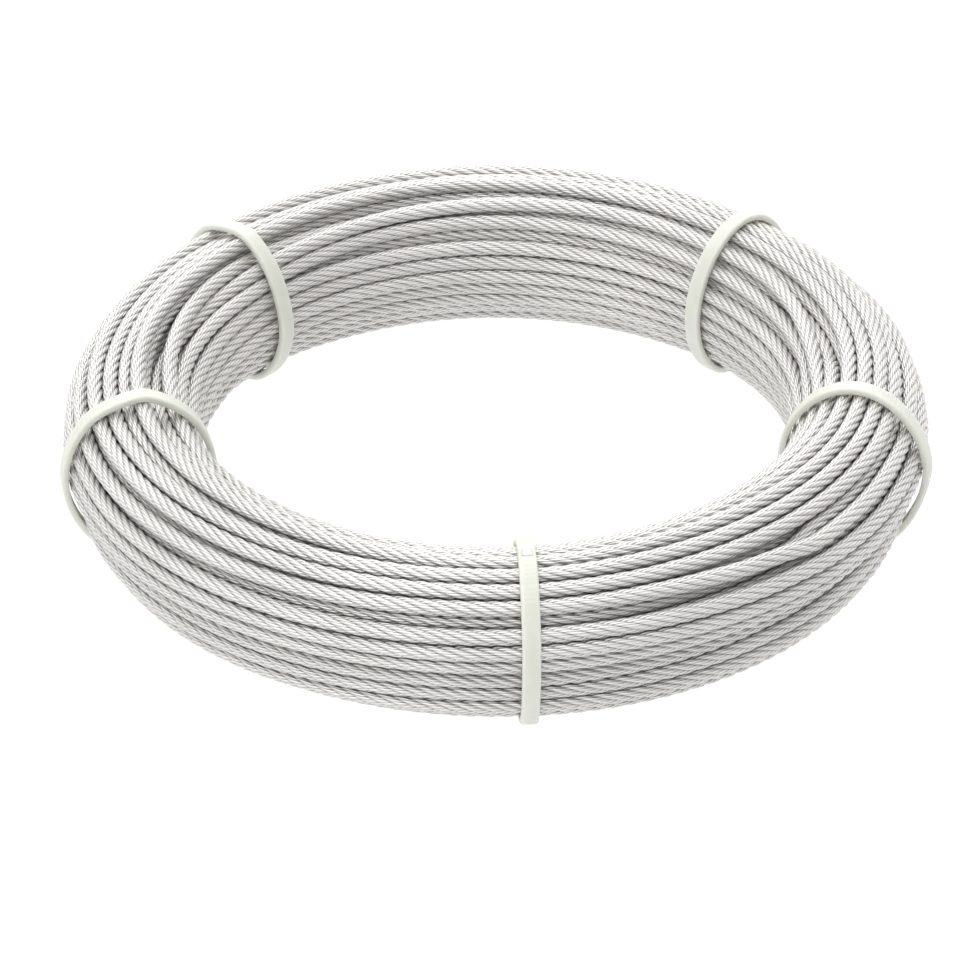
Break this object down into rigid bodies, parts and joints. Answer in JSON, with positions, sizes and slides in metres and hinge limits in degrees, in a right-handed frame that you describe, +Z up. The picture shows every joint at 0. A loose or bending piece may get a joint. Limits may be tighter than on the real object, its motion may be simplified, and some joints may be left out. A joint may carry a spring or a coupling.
{
  "type": "coil of wire rope",
  "caption": "Thin stranded steel wire rope wound into a flat, ring-shaped coil and bundled with narrow nylon cable ties.",
  "frame": {"origin": "middle of the coil's bore, on the surface that the coil lies on", "axes": "+Z up along the bore's axis; -Y towards the front tie and the viewer; +X to the viewer's right"},
  "size_m": [0.1507, 0.1519, 0.0317],
  "materials": {
    "zinc_plated_wire": "bright zinc plated, stranded",
    "natural_nylon": "natural translucent off-white, satin"
  },
  "bodies": {
    "root": {"wire_rope_coil": "zinc_plated_wire", "cable_tie_front": "natural_nylon", "cable_tie_left": "natural_nylon", "cable_tie_back_left": "natural_nylon", "cable_tie_back_right": "natural_nylon", "cable_tie_right": "natural_nylon"}
  },
  "joints": []
}
